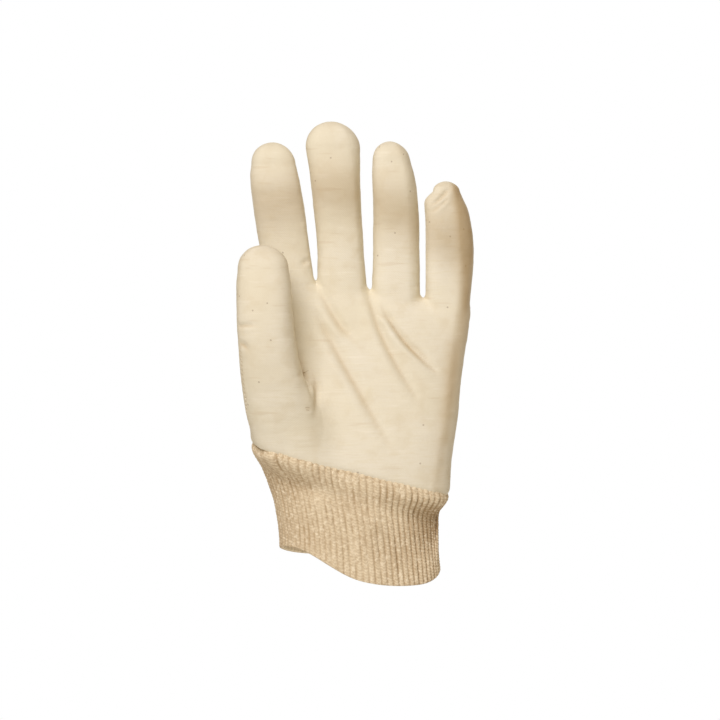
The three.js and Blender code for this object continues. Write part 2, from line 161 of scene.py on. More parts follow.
# The seam down the little-finger side of the palm, as its place across the front at each height.
PALM_SIDE_SEAM = table("z x", [
    (40, 39.5), (50, 40.5), (57, 41.5), (77, 45.3), (99, 47.6), (120, 49.6), (142, 51.5), (160, 52.5),
])
PALM_SIDE_TURN = 60
# Creases as curves on the front: three places across and three heights in millimetres, then the half
# width, the depth of the valley, the height of the ridge on the thumb side of it and how dark it is.
# The dark column is shade painted along each crease's valley.
CREASES = table("x1 x2 x3 z1 z2 z3 width depth ridge dark", [
    (-22, -14, -5.4, 147, 132, 122, 2.7, 2.5, 1.1, 0.45),
    (-22, -8, 13.5, 130, 105, 67, 3.0, 2.3, 1.1, 0.5),
    (4.3, 12.5, 28.6, 144, 120, 91, 2.5, 2.3, 1.1, 0.5),
    (12.4, 24, 39.3, 136, 119, 104, 1.9, 2.7, 1.5, 0.8),
    (-25.4, -23.8, -24.4, 102, 93, 82, 2.0, 1.5, 1.6, 0.45),
    (-66, -61, -56, 127, 127.4, 127.6, 1.3, 1.2, 0.3, 0.5),
    (-64, -62, -60, 118, 117, 115, 1.5, 1.0, 0.1, 0.7),
    (-31, -29, -26, 160, 162, 163, 1.4, 0.8, 0.2, 0.3),
    (39.5, 43.5, 47.5, 193, 196, 200.5, 1.1, 1.5, 0.7, 0.5),
    (42, 45, 47, 192.5, 193.5, 197, 0.9, 0.8, 0.4, 0.3),
    (38.5, 41, 44, 189.5, 190.5, 193, 1.2, 0.7, 0.3, 0.3),
    (8, 12, 19, 138, 133, 131, 1.8, 0.8, 0.5, 0.2),
    (28, 33, 37, 118, 113, 109, 1.6, 0.9, 0.5, 0.3),
])
# The two tacks beside the thumb: places across and up, the depth of the pucker and its reach.
TACKS = ((-31.3, 102.0, 0.7, 1.7), (-28.0, 83.4, 0.4, 1.5))
# The dark lines painted at the tacks, for the shade of their fine creases and their stitches: where each
# starts and ends, across and up, its half width and its strength.
TACK_LINES = (
    ((-33.2, 101.9), (-29.8, 102.6), 0.42, 0.75),
    ((-29.8, 102.6), (-27.8, 103.8), 0.35, 0.3),
    ((-31.4, 103.8), (-31.1, 101.0), 0.35, 0.35),
    ((-30.8, 102.2), (-29.7, 100.8), 0.32, 0.4),
    ((-29.0, 84.0), (-27.2, 83.9), 0.36, 0.35),
    ((-28.6, 82.7), (-27.4, 82.5), 0.36, 0.4),
)


def read(rows, key, at):
    """A smooth reading of a table's columns at any value of its key column."""
    keys = rows[key]
    last = len(keys) - 1
    at = np.asarray(at, float)
    b = np.clip(np.searchsorted(keys, at, side="right") - 1, 0, last - 1)
    a, c, d = np.clip(b - 1, 0, last), b + 1, np.clip(b + 2, 0, last)
    run = keys[c] - keys[b]
    s = np.clip((at - keys[b]) / run, 0, 1)
    out = {}
    for name, v in rows.items():
        before = (v[c] - v[a]) / (keys[c] - keys[a])
        after = (v[d] - v[b]) / (keys[d] - keys[b])
        out[name] = (
            (2 * s**3 - 3 * s**2 + 1) * v[b]
            + (s**3 - 2 * s**2 + s) * run * before
            + (3 * s**2 - 2 * s**3) * v[c]
            + (s**3 - s**2) * run * after
        )
    return out


def smooth(low, high, value):
    """A smooth step from 0 at low to 1 at high."""
    t = np.clip((value - low) / (high - low), 0, 1)
    return t * t * (3 - 2 * t)


def slope(degrees):
    """The rise over the run of a line turned by these degrees."""
    return math.tan(math.radians(degrees))


def bell(value, width):
    """1 where value is 0, fading over about the width on both sides."""
    return np.exp(-((value / width) ** 2))


def unit(vectors):
    """Each vector at a length of 1."""
    return vectors / np.maximum(np.linalg.norm(vectors, axis=1, keepdims=True), 1e-9)


def finger_rows(name):
    """One finger's sections in millimetres."""
    f, sections = FINGERS[name], FINGER_SECTIONS[name]
    share = np.linspace(sections["up"][0], sections["up"][-1], 18)
    s = read(sections, "up", share)
    up = share * f["length"]
    lean = slope(f["lean"])
    return {
        "z": ROOT_Z + up,
        "x": f["root"] * PALM_WIDTH - up * lean + s["side"] * f["width"],
        "y": -read(FINGER_CURLS[name], "up", share)["curl"] * f["length"],
        "width": s["wide"] * f["width"],
        "depth": s["deep"] * f["depth"],
        "turn": np.full(len(up), f["turn"]) * smooth(-0.1, 0.3, share),
    }


FINGER_ROWS = {name: finger_rows(name) for name in FINGERS}
PALM_ROWS = {
    "z": WRIST_HEIGHT + PALM_SECTIONS["up"] * PALM_HEIGHT,
    "x": PALM_SECTIONS["side"] * PALM_WIDTH,
    "width": PALM_SECTIONS["wide"] * PALM_WIDTH,
    "depth": PALM_SECTIONS["deep"] * PALM_DEPTH,
    "rise": PALM_SECTIONS["rise"],
}
THUMB_ROWS = {
    "z": WRIST_HEIGHT + THUMB_SECTIONS["up"] * THUMB_LENGTH,
    "x": -THUMB_SECTIONS["aside"] * THUMB_ASIDE,
    "y": -THUMB_SECTIONS["reach"] * THUMB_REACH,
    "width": THUMB_SECTIONS["wide"] * THUMB_WIDTH,
    "depth": THUMB_SECTIONS["deep"] * THUMB_DEPTH,
    "turn": np.zeros(len(THUMB_SECTIONS["up"])),
}


def seam_height(x, y):
    """The height of the seam between hand and wrist at a place on it."""
    return WRIST_HEIGHT - x * slope(SEAM_SLOPE_ACROSS) + y * slope(SEAM_SLOPE_BACK)


def above_hem(p):
    """How far each point lies above the seam between hand and wrist."""
    return p[:, 2] - seam_height(p[:, 0], p[:, 1])


def lumps(points, size, seed, stretch=(1, 1, 1)):
    """Smooth noise from about -1 to 1 at each point, with lumps of about that size."""
    scaled = points / (size * np.array(stretch)) + seed * 17.31
    return np.array([noise.noise(Vector(p)) for p in scaled])


# The hand's form as a distance field.


def section_distance(p, x, y, width, depth, roundness, over, tip, under=0.0):
    """The distance from points to a form with this section, past its ends where over or under is above 0."""
    a, b = width / 2, depth / 2
    u, v = np.abs(p[:, 0] - x) / a + 1e-9, np.abs(p[:, 1] - y) / b + 1e-9
    r = (u**roundness + v**roundness) ** (1 / roundness)
    tip = np.where(under > 0, FOOT_RUN, tip)
    t = np.maximum(np.maximum(over, under), 0) / tip
    whole = np.sqrt(r * r + t * t)
    slope_x = (r / whole) * (u / r) ** (roundness - 1) / a
    slope_y = (r / whole) * (v / r) ** (roundness - 1) / b
    slope_z = (t / whole) / tip
    return (whole - 1) / np.sqrt(slope_x**2 + slope_y**2 + slope_z**2)


def tube_place(rows, z):
    """A tube's section at each height, its middle carried on past the top."""
    top = rows["z"][-1]
    s = read(rows, "z", np.minimum(z, top))
    before = read(rows, "z", top - TIP_SLOPE_RUN)
    past = np.maximum(z - top, 0)
    for key in ("x", "y"):
        s[key] = s[key] + past * (rows[key][-1] - before[key]) / TIP_SLOPE_RUN
    return s, past


def tube_distance(rows, tip, p):
    """The distance from points to a finger or the thumb."""
    s, past = tube_place(rows, p[:, 2])
    under = rows["z"][0] - p[:, 2]
    middle = s["y"] + s["turn"] * (p[:, 0] - s["x"])
    return section_distance(p, s["x"], middle, s["width"], s["depth"], FINGER_ROUNDNESS, past, tip, under)


def palm_distance(p):
    """The distance from points to the palm, whose sections slant by their rise."""
    top = PALM_ROWS["z"][-1]
    level = p[:, 2]
    for _ in range(2):
        level = p[:, 2] + read(PALM_ROWS, "z", np.minimum(level, top))["rise"] * p[:, 0]
    s = read(PALM_ROWS, "z", np.minimum(level, top))
    over = level - (top - PALM_TOP_RUN)
    return section_distance(p, s["x"], 0, s["width"], s["depth"], PALM_ROUNDNESS, over, PALM_TOP_RUN)


def soft_union(a, b, reach):
    """The smaller of two distances, rounded where they are within reach of each other."""
    near = np.maximum(reach - np.abs(a - b), 0) / reach
    return np.minimum(a, b) - near * near * reach / 4


def form_distances(p):
    """The distances to the palm, to each finger and to the thumb."""
    fingers = [tube_distance(FINGER_ROWS[n], FINGERS[n]["tip"], p) for n in FINGERS]
    return [palm_distance(p), *fingers, tube_distance(THUMB_ROWS, THUMB_TIP, p)]


def hand_distance(p):
    """The distance to the whole form, with the fingers and the thumb blended into the palm."""
    palm, *fingers, thumb = form_distances(p)
    hand = np.min([soft_union(palm, f, reach) for f, reach in zip(fingers, CROTCH_REACH)], axis=0)
    below_web = 1 - smooth(82, 103, p[:, 2])
    near_palm = smooth(-46, -34, p[:, 0])
    return soft_union(hand, thumb, 1.6 + (4 + 9 * near_palm) * below_web)


def outward(p):
    """The direction straight out of the hand's form at each point."""
    step = 0.15
    parts = []
    for axis in range(3):
        shift = np.zeros(3)
        shift[axis] = step
        parts.append(hand_distance(p + shift) - hand_distance(p - shift))
    return unit(np.stack(parts, 1))


def front_y(x, z):
    """How far forward the front of the form lies at a place, as its y."""
    y = np.linspace(-60, 10, 281)
    inside = hand_distance(np.stack([np.full_like(y, x), y, np.full_like(y, z)], 1)) < 0
    return float(y[inside.argmax()])


def panel_side(p):
    """How far each point lies on the palm side of the seam round the hand, less than 0 behind it."""
    x, y, z = p.T
    weights, sides = [], []
    places = [tube_place(FINGER_ROWS[n], z)[0] for n in FINGERS]
    edges = [(places[i]["x"] + places[i + 1]["x"]) / 2 for i in range(3)]
    for i, name in enumerate(FINGERS):
        s, seam = places[i], FINGERS[name]["seam"]
        turn = slope(seam)
        reach = s["depth"] / 2 + PAST_FORM
        line = s["y"] + s["turn"] * (x - s["x"]) - np.clip(turn * (x - s["x"]), -reach, reach)
        sides.append((line - y) * math.cos(math.radians(seam)))
        left = smooth(-1, 1, x - edges[i - 1]) if i else 1
        right = 1 - smooth(-1, 1, x - edges[i]) if i < 3 else 1
        weights.append(left * right)
    finger_side = sum(w * s for w, s in zip(weights, sides))
    thumb = tube_place(THUMB_ROWS, z)[0]
    beside = read(THUMB_SIDE_SEAM, "z", z)["y"] + slope(THUMB_SEAM_TURN) * (x - thumb["x"] + 15)
    above_web = smooth(WEB_Z - 4, WEB_Z + 3, z)
    palm_row = read(PALM_ROWS, "z", np.minimum(z, ROOT_Z))
    right = read(PALM_SIDE_SEAM, "z", z)["x"]
    out = np.clip(np.abs(right - palm_row["x"]) / (palm_row["width"] / 2), 0, 0.995)
    front = -palm_row["depth"] / 2 * (1 - out**PALM_ROUNDNESS) ** (1 / PALM_ROUNDNESS)
    palm_line = front - slope(PALM_SIDE_TURN) * (x - right)
    palm_line = np.clip(palm_line, -palm_row["depth"] / 2 - PAST_FORM, 0)
    left_part = smooth(-44, -52, x)
    palm_line = palm_line * (1 - left_part) + left_part * (beside * (1 - above_web) + 6 * above_web)
    palm_side = (palm_line - y) * (1 - 0.5 * smooth(30, 36, x))
    hand_side = palm_side + (finger_side - palm_side) * smooth(ROOT_Z - 8, ROOT_Z + 1, z)
    right_part = smooth(-2, 3, x - thumb["x"])
    thumb_line = beside * (1 - right_part * (1 - above_web))
    thumb_side = (thumb_line - y) * math.cos(math.radians(THUMB_SEAM_TURN))
    palm, *fingers, thumb_distance = form_distances(p)
    on_thumb = smooth(-1.5, 1.5, np.min([palm, *fingers], axis=0) - thumb_distance)
    return hand_side + (thumb_side - hand_side) * on_thumb


# Mesh work.


def oblong(width, depth, roundness, turn):
    """The points of a rounded oblong by their turn, and how far along it each lies."""
    c, s = np.cos(turn), np.sin(turn)
    x = width / 2 * np.sign(c) * np.abs(c) ** (2 / roundness)
    y = depth / 2 * np.sign(s) * np.abs(s) ** (2 / roundness)
    return x, y, np.concatenate([[0], np.cumsum(np.hypot(np.diff(x), np.diff(y)))])


def ring_points(width, depth, roundness, count):
    """Evenly spaced points round a rounded oblong, from its +X end and round by +Y."""
    x, y, along = oblong(width, depth, roundness, np.linspace(0, 2 * np.pi, 721))
    at = np.linspace(0, along[-1], count, endpoint=False)
    return np.interp(at, along, x), np.interp(at, along, y)


def stack_mesh(rings):
    """The closed mesh between rings of the same length, capped with one face at each end."""
    count = len(rings[0])
    faces = []
    for i in range(len(rings) - 1):
        for j in range(count):
            k = (j + 1) % count
            faces.append((i * count + j, i * count + k, (i + 1) * count + k, (i + 1) * count + j))
    faces.append(tuple(range(count - 1, -1, -1)))
    top = (len(rings) - 1) * count
    faces.append(tuple(range(top, top + count)))
    return np.concatenate(rings), faces


def tube_mesh(rows, tip, sides=40, step=2.5):
    """A rough closed mesh of a finger or the thumb, with a rounded tip."""
    rings = []
    top = rows["z"][-1]
    heights = list(np.linspace(rows["z"][0], top, int((top - rows["z"][0]) / step)))
    shares = [1.0] * len(heights)
    for turn in np.radians([12, 24, 36, 48, 60, 70, 79, 86]):
        heights.append(top + tip * math.sin(turn))
        shares.append(math.cos(turn))
    for z, share in zip(heights, shares):
        s = {k: float(np.ravel(v)[0]) for k, v in tube_place(rows, np.array([z]))[0].items()}
        x, y = ring_points(s["width"] * share, s["depth"] * share, FINGER_ROUNDNESS, sides)
        rings.append(np.stack([x + s["x"], y + s["y"] + s["turn"] * x, np.full(sides, z)], 1))
    return stack_mesh(rings)


def palm_mesh(sides=120, step=3):
    """A rough closed mesh of the palm."""
    rings = []
    rows = PALM_ROWS
    for z in np.linspace(rows["z"][0], rows["z"][-1], int((rows["z"][-1] - rows["z"][0]) / step)):
        s = {k: float(v) for k, v in read(rows, "z", z).items()}
        x, y = ring_points(s["width"], s["depth"], PALM_ROUNDNESS, sides)
        rings.append(np.stack([x + s["x"], y, z - s["rise"] * (x + s["x"])], 1))
    return stack_mesh(rings)


def add_object(name, data):
    """A new object in the scene."""
    obj = bpy.data.objects.new(name, data)
    bpy.context.scene.collection.objects.link(obj)
    return obj


def new_mesh_object(name, points, faces, uv=None):
    """A mesh object from points in millimetres."""
    mesh = bpy.data.meshes.new(name)
    faces = faces if isinstance(faces, list) else faces.tolist()
    mesh.from_pydata((np.asarray(points) * MM).tolist(), [], faces)
    mesh.update()
    if uv is not None:
        layer = mesh.uv_layers.new(name="cloth")
        layer.data.foreach_set("uv", np.asarray(uv, np.float32).ravel())
    return add_object(name, mesh)


def mark_points(mesh, name, values):
    """Gives each point a value for the material to read."""
    mark = mesh.attributes.new(name, "FLOAT", "POINT")
    mark.data.foreach_set("value", values.astype(np.float32))


def filled_hand(voxel):
    """The points and triangles of the hand's skin, drawn afresh at an even spacing."""
    points, faces, start = [], [], 0
    parts = [palm_mesh(), tube_mesh(THUMB_ROWS, THUMB_TIP)]
    parts += [tube_mesh(FINGER_ROWS[n], FINGERS[n]["tip"]) for n in FINGERS]
    for part_points, part_faces in parts:
        points.append(part_points)
        faces += [tuple(i + start for i in f) for f in part_faces]
        start += len(part_points)
    rough = new_mesh_object("rough_hand", np.concatenate(points), faces)
    remesh = rough.modifiers.new("even", "REMESH")
    remesh.mode = "VOXEL"
    remesh.voxel_size = voxel * MM
    even = rough.evaluated_get(bpy.context.evaluated_depsgraph_get()).to_mesh()
    co = np.zeros(len(even.vertices) * 3, np.float32)
    even.vertices.foreach_get("co", co)
    even.calc_loop_triangles()
    tris = np.zeros(len(even.loop_triangles) * 3, np.int32)
    even.loop_triangles.foreach_get("vertices", tris)
    rough_mesh = rough.data
    bpy.data.objects.remove(rough)
    bpy.data.meshes.remove(rough_mesh)
    p = co.reshape(-1, 3).astype(float) * 1000
    for _ in range(4):
        p = p - outward(p) * np.clip(hand_distance(p), -1.2, 1.2)[:, None]
    return p, tris.reshape(-1, 3)


def cut_along(points, tris, side, snap=0.12):
    """Cuts triangles along the line where side is 0. Gives the points, triangles and side afresh."""
    side = np.where(np.abs(side) < snap, 0.0, side)
    mixed = (side[tris].max(1) > 0) & (side[tris].min(1) < 0)
    extra, made, new_tris = [], {}, []
    count = len(points)

    def crossing(a, b):
        key = (min(a, b), max(a, b))
        if key not in made:
            t = side[a] / (side[a] - side[b])
            made[key] = count + len(extra)
            extra.append(points[a] + t * (points[b] - points[a]))
        return made[key]

    for tri in tris[mixed]:
        ring = []
        for a, b in zip(tri, np.roll(tri, -1)):
            ring.append(int(a))
            if side[a] * side[b] < 0:
                ring.append(crossing(int(a), int(b)))
        value = [side[i] if i < count else 0.0 for i in ring]
        for sign in (1, -1):
            part = [i for i, v in zip(ring, value) if v * sign >= 0]
            for k in range(1, len(part) - 1):
                new_tris.append((part[0], part[k], part[k + 1]))
    points = np.concatenate([points, np.array(extra).reshape(-1, 3)])
    side = np.concatenate([side, np.zeros(len(extra))])
    tris = np.concatenate([tris[~mixed], np.array(new_tris, int).reshape(-1, 3)])
    return points, tris, side


def keep(points, tris, *fields):
    """Drops the points that no triangle uses."""
    used, flat = np.unique(tris, return_inverse=True)
    return (points[used], flat.reshape(-1, 3), *[f[used] for f in fields])


# How the cloth lies.


def crease_lie(x, z):
    """How far the creases push the front out, less than 0 in a valley, and the shade painted in them and
    round the tacks.
    """
    height, dark = np.zeros(len(x)), np.zeros(len(x))
    t = np.linspace(0, 1, 25)
    weights = (1 - t) * (1 - 2 * t), 4 * t * (1 - t), t * (2 * t - 1)
    reach = 12
    for row in zip(*CREASES.values()):
        c = dict(zip(CREASES, row))
        cx, cz = (sum(w * c[axis + i] for w, i in zip(weights, "123")) for axis in "xz")
        width = c["width"]
        box = (x > cx.min() - reach) & (x < cx.max() + reach)
        box &= (z > cz.min() - reach) & (z < cz.max() + reach)
        if not box.any():
            continue
        px, pz = x[box], z[box]
        gap = np.hypot(px[:, None] - cx, pz[:, None] - cz)
        k = gap.argmin(1)
        tx, tz = np.gradient(cx)[k], np.gradient(cz)[k]
        beyond = ((px - cx[k]) * tx + (pz - cz[k]) * tz) / np.hypot(tx, tz)
        across = ((px - cx[k]) * -tz + (pz - cz[k]) * tx) / np.hypot(tx, tz)
        end = np.where((k == 0) | (k == len(t) - 1), bell(beyond, 1.5 * width), 1)
        fade = np.sin(np.pi * (0.1 + 0.8 * t[k])) * end
        valley = bell(across - 0.3 * width, width)
        ridge = bell(across + 1.35 * width, 1.3 * width)
        height[box] += fade * (c["ridge"] * ridge - c["depth"] * valley)
        # Painted shade along the valley.
        dark[box] = np.maximum(dark[box], c["dark"] * fade * bell(across, 0.5 * width))
    for tack_x, tack_z, depth, reach in TACKS:
        pucker = bell(np.hypot(x - tack_x, z - tack_z), reach)
        height -= depth * pucker
        # Painted shade in the pucker round each tack.
        dark = np.maximum(dark, 0.25 * pucker)
    return height, dark


def on_thumb_edge(p):
    """1 beside the open stitching down the outer edge of the thumb, 0 elsewhere."""
    return smooth(-46, -50, p[:, 0]) * (1 - smooth(112, 122, p[:, 2]))


def cloth_lie(p, n, gap, along, settings):
    """How far the cloth stands out from the hand's form at each point, and how much shade is painted on it.
    """
    x, y, z = p.T
    front = smooth(0.05, 0.5, -n[:, 1])
    creases, dark = crease_lie(x, z)
    height = front * creases
    height += 0.25 + settings.unevenness * (0.5 * lumps(p, 26, 1) + 0.22 * lumps(p, 11, 2))
    wrinkles = lumps(p, 3.4, 3, (3.5, 2.5, 1)) + 0.7 * lumps(p, 2.6, 4, (2.2, 2, 1))
    height += settings.wrinkles * wrinkles
    open_seam = on_thumb_edge(p)
    pucker = 0.5 + 0.5 * np.cos(2 * np.pi * along / settings.stitch_pitch)
    height += settings.seam_welt * bell(gap, 2.6)
    height -= settings.seam_depth * bell(gap, 0.9) * (0.1 + 1.3 * pucker * open_seam)
    height -= 0.1 * (0.5 + lumps(p, 3, 5)) * bell(gap, 3)
    # Painted shade along the seam's groove, deepest between the stitches of the open seam.
    dark = front * dark + bell(gap, 0.8) * (0.02 + 0.4 * pucker * open_seam)
    # Painted shade beside the thumb where it lies close to the palm, across the bend of each finger, and on
    # the right sides that turn from the light.
    thumb = tube_distance(THUMB_ROWS, THUMB_TIP, p)
    beside_thumb = smooth(7, 0.5, thumb) * smooth(-0.5, 2.5, thumb) * smooth(84, 106, z)
    bend_height = np.interp(x, (-45, -15, 18, 46), (193, 203, 190, 175))
    bend = smooth(148, 164, z) * bell(z - bend_height, 15)
    edge = smooth(28, 46, x) * bell(gap, 5 + 3.5 * smooth(90, 150, z)) * smooth(0.05, 1, n[:, 0])
    dark += front * (0.55 * beside_thumb + 0.5 * bend)
    dark += (0.7 + 0.9 * smooth(60, 105, z)) * edge
    left = smooth(-4, -26, x) * front
    height -= (1.5 - 0.9 * left) * np.exp(-((np.maximum(above_hem(p), 0) / 1.6) ** 1.4))
    return height, np.clip(dark, 0, 1)


def arc_places(dx, dy, width, depth):
    """How far round a section each place is, in millimetres."""
    x, y, along = oblong(width, depth, UV_ROUNDNESS, np.linspace(-np.pi, np.pi, 361))
    angle = np.arctan2(y, x)
    angle[0], angle[-1] = -np.pi, np.pi
    return np.interp(np.arctan2(dy, dx), angle, along)


def cloth_uv(points, tris):
    """A flat place for each corner of each triangle, in units of 10 millimetres."""
    corners = points[tris]
    form = np.argmin(form_distances(corners.mean(1)), axis=0)
    uv = np.zeros((len(tris), 3, 2))
    apart = 40
    for i, r in enumerate([PALM_ROWS, *FINGER_ROWS.values(), THUMB_ROWS]):
        chosen = form == i
        if not chosen.any():
            continue
        c = corners[chosen].reshape(-1, 3)
        s = read(r, "z", np.minimum(c[:, 2], r["z"][-1]))
        width, depth = float(r["width"].mean()), float(r["depth"].mean())
        dy = c[:, 1] - (s["y"] if "y" in r else 0)
        u = arc_places(c[:, 0] - s["x"], dy, width, depth)
        place = np.stack([u, c[:, 2] + apart * i], 1).reshape(-1, 3, 2)
        lap = place[:, :, 0].max(1) - place[:, :, 0].min(1) > width
        lapped = place[lap, :, 0]
        place[lap, :, 0] = np.where(lapped < width, lapped + u.max(), lapped)
        uv[chosen] = place
    return uv / 10


def chains(edges):
    """Joins edges that share points into runs of points."""
    links = {}
    for a, b in edges:
        links.setdefault(a, []).append(b)
        links.setdefault(b, []).append(a)
    runs, seen = [], set()
    ends = [v for v in links if len(links[v]) == 1] + list(links)
    for start in ends:
        if start in seen:
            continue
        run, here = [start], start
        seen.add(start)
        while True:
            onward = [v for v in links[here] if v not in seen]
            if not onward:
                break
            here = onward[0]
            seen.add(here)
            run.append(here)
        if len(run) > 6:
            runs.append(run)
    return runs


def points_at(line, along, at):
    """The points of a line at these places along it."""
    return np.stack([np.interp(at, along, line[:, k]) for k in range(3)], 1)


def seam_runs(points, tris, side):
    """The seam's runs, each as points at an even spacing with their places along it."""
    on_seam = side == 0
    pairs = np.concatenate([tris[:, [0, 1]], tris[:, [1, 2]], tris[:, [2, 0]]])
    pairs = np.unique(np.sort(pairs[on_seam[pairs].all(1)], axis=1), axis=0)
    runs = []
    for run in chains(pairs.tolist()):
        line = points[run]
        for _ in range(3):
            line[1:-1] = (line[:-2] + 2 * line[1:-1] + line[2:]) / 4
        along = np.concatenate([[0], np.cumsum(np.linalg.norm(np.diff(line, axis=0), axis=1))])
        at = np.arange(0, along[-1], 0.3)
        runs.append((points_at(line, along, at), at))
    return runs


def near_seam(points, side, runs):
    """How far each point is from the seam, and the place along the seam that it is nearest to."""
    places = np.concatenate([line for line, _ in runs])
    alongs = np.concatenate([at for _, at in runs])
    tree = kdtree.KDTree(len(places))
    for i, place in enumerate(places):
        tree.insert(place, i)
    tree.balance()
    far, reach = 50.0, 14
    gap, along = np.full(len(points), far), np.zeros(len(points))
    for i in np.flatnonzero(np.abs(side) < reach):
        _, nearest, distance = tree.find(points[i])
        gap[i], along[i] = distance, alongs[nearest]
    return gap, along


def stitch_mesh(places, directions, outs, length, radius):
    """Short round-ended stitches, one at each place."""
    points, faces, sides = [], [], 6
    profile = [(-0.5, 0.35), (-0.32, 0.95), (0, 1.1), (0.32, 0.95), (0.5, 0.35)]
    for place, along, out in zip(places, directions, outs):
        across = np.cross(along, out)
        across /= np.linalg.norm(across)
        out = np.cross(across, along)
        start = len(points)
        for share, wide in profile:
            for k in range(sides):
                turn = 2 * math.pi * k / sides
                ring = across * math.cos(turn) + out * math.sin(turn)
                points.append(place + along * share * length + ring * radius * wide)
        last = start + (len(profile) - 1) * sides
        for a in range(start, last, sides):
            for k in range(sides):
                m = (k + 1) % sides
                faces.append((a + k, a + m, a + sides + m, a + sides + k))
        faces.append(tuple(start + k for k in range(sides - 1, -1, -1)))
        faces.append(tuple(last + k for k in range(sides)))
    return np.array(points), faces


def sharp_border(mesh):
    """Marks the open border's edges as sharp, so that the rim doesn't bend the shading beside it."""
    sides = np.zeros(len(mesh.loops), np.int32)
    mesh.loops.foreach_get("edge_index", sides)
    border = np.bincount(sides, minlength=len(mesh.edges)) == 1
    mark = mesh.attributes.get("sharp_edge") or mesh.attributes.new("sharp_edge", "BOOLEAN", "EDGE")
    mark.data.foreach_set("value", border)


def outward_faces(obj):
    """Turns the mesh's faces outward and shades them smoothly."""
    bpy.ops.object.select_all(action="DESELECT")
    obj.select_set(True)
    bpy.context.view_layer.objects.active = obj
    bpy.ops.object.mode_set(mode="EDIT")
    bpy.ops.mesh.select_all(action="SELECT")
    bpy.ops.mesh.normals_make_consistent(inside=False)
    bpy.ops.object.mode_set(mode="OBJECT")
    bpy.ops.object.shade_smooth()
    obj.select_set(False)


# Materials.


class Nodes:
    """A material's nodes, added and linked one after another."""

    def __init__(self, name):
        self.material = bpy.data.materials.new(name)
        self.material.use_nodes = True
        self.tree = self.material.node_tree
        self.shader = self.tree.nodes["Principled BSDF"]

    def add(self, kind, inputs=None, **settings):
        node = self.tree.nodes.new("ShaderNode" + kind)
        for key, value in settings.items():
            setattr(node, key, value)
        for key, value in (inputs or {}).items():
            if isinstance(value, bpy.types.NodeSocket):
                self.tree.links.new(value, node.inputs[key])
            else:
                node.inputs[key].default_value = value
        return node

    def math(self, operation, *values):
        return self.add("Math", dict(enumerate(values)), operation=operation).outputs[0]

    def vector(self, operation, a, b):
        node = self.add("VectorMath", {0: a, 1: b}, operation=operation)
        return node.outputs["Value" if operation == "DOT_PRODUCT" else "Vector"]

    def noise(self, place, scale, detail):
        node = self.add("TexNoise", {"Vector": place, "Scale": scale, "Detail": detail})
        return node.outputs["Fac"]

    def ramp(self, value, low, high):
        node = self.add("MapRange", {0: value, 1: low, 2: high}, interpolation_type="SMOOTHSTEP")
        return node.outputs[0]

    def mix(self, base, colour, share, strength=1.0):
        """The base with a colour over it, by a share from 0 to 1 and the strength."""
        if strength != 1.0:
            share = self.math("MULTIPLY", share, strength)
        node = self.add("Mix", {"Factor": share, "A": base, "B": colour}, data_type="RGBA")
        return node.outputs["Result"]

    def line(self, place, start, end, depth, wide):
        """1 on a short line across the front, 0 off it or far from its depth.

        The start and the end are places across and up, the depth is the line's y, all in millimetres."""
        ax, az, bx, bz = (v * MM for v in (*start, *end))
        run = math.hypot(bx - ax, bz - az)
        ux, uz = (bx - ax) / run, (bz - az) / run
        from_start = self.vector("SUBTRACT", place, (ax, 0, az))
        along = self.vector("DOT_PRODUCT", from_start, (ux, 0, uz))
        across = self.vector("DOT_PRODUCT", from_start, (-uz, 0, ux))
        beyond = self.math("ABSOLUTE", self.math("SUBTRACT", along, run / 2))
        beyond = self.math("MAXIMUM", self.math("SUBTRACT", beyond, run / 2), 0.0)
        gap = self.math("ADD", self.math("POWER", beyond, 2.0), self.math("POWER", across, 2.0))
        y = self.add("SeparateXYZ", {0: from_start}).outputs[1]
        off = self.math("ABSOLUTE", self.math("SUBTRACT", y, depth * MM))
        on_line = self.ramp(self.math("SQRT", gap), wide * MM, 0.3 * wide * MM)
        return self.math("MULTIPLY", on_line, self.ramp(off, 6.5 * MM, 5 * MM))

    def cotton(self, base, relief, strength, distance, sheen):
        """Gives the shader this colour and relief and the dull surface of cotton."""
        bump = self.add("Bump", {"Strength": strength, "Distance": distance, "Height": relief})
        self.tree.links.new(base, self.shader.inputs["Base Color"])
        self.tree.links.new(bump.outputs[0], self.shader.inputs["Normal"])
        self.shader.inputs["Roughness"].default_value = 0.92
        self.shader.inputs["Specular IOR Level"].default_value = 0.15
        self.shader.inputs["Sheen Weight"].default_value = sheen
        return self.material


def tone(colour, *shares):
    """A colour with each channel times its share, as a socket takes it."""
    return (*(min(c * s, 1.0) for c, s in zip(colour, shares)), 1)


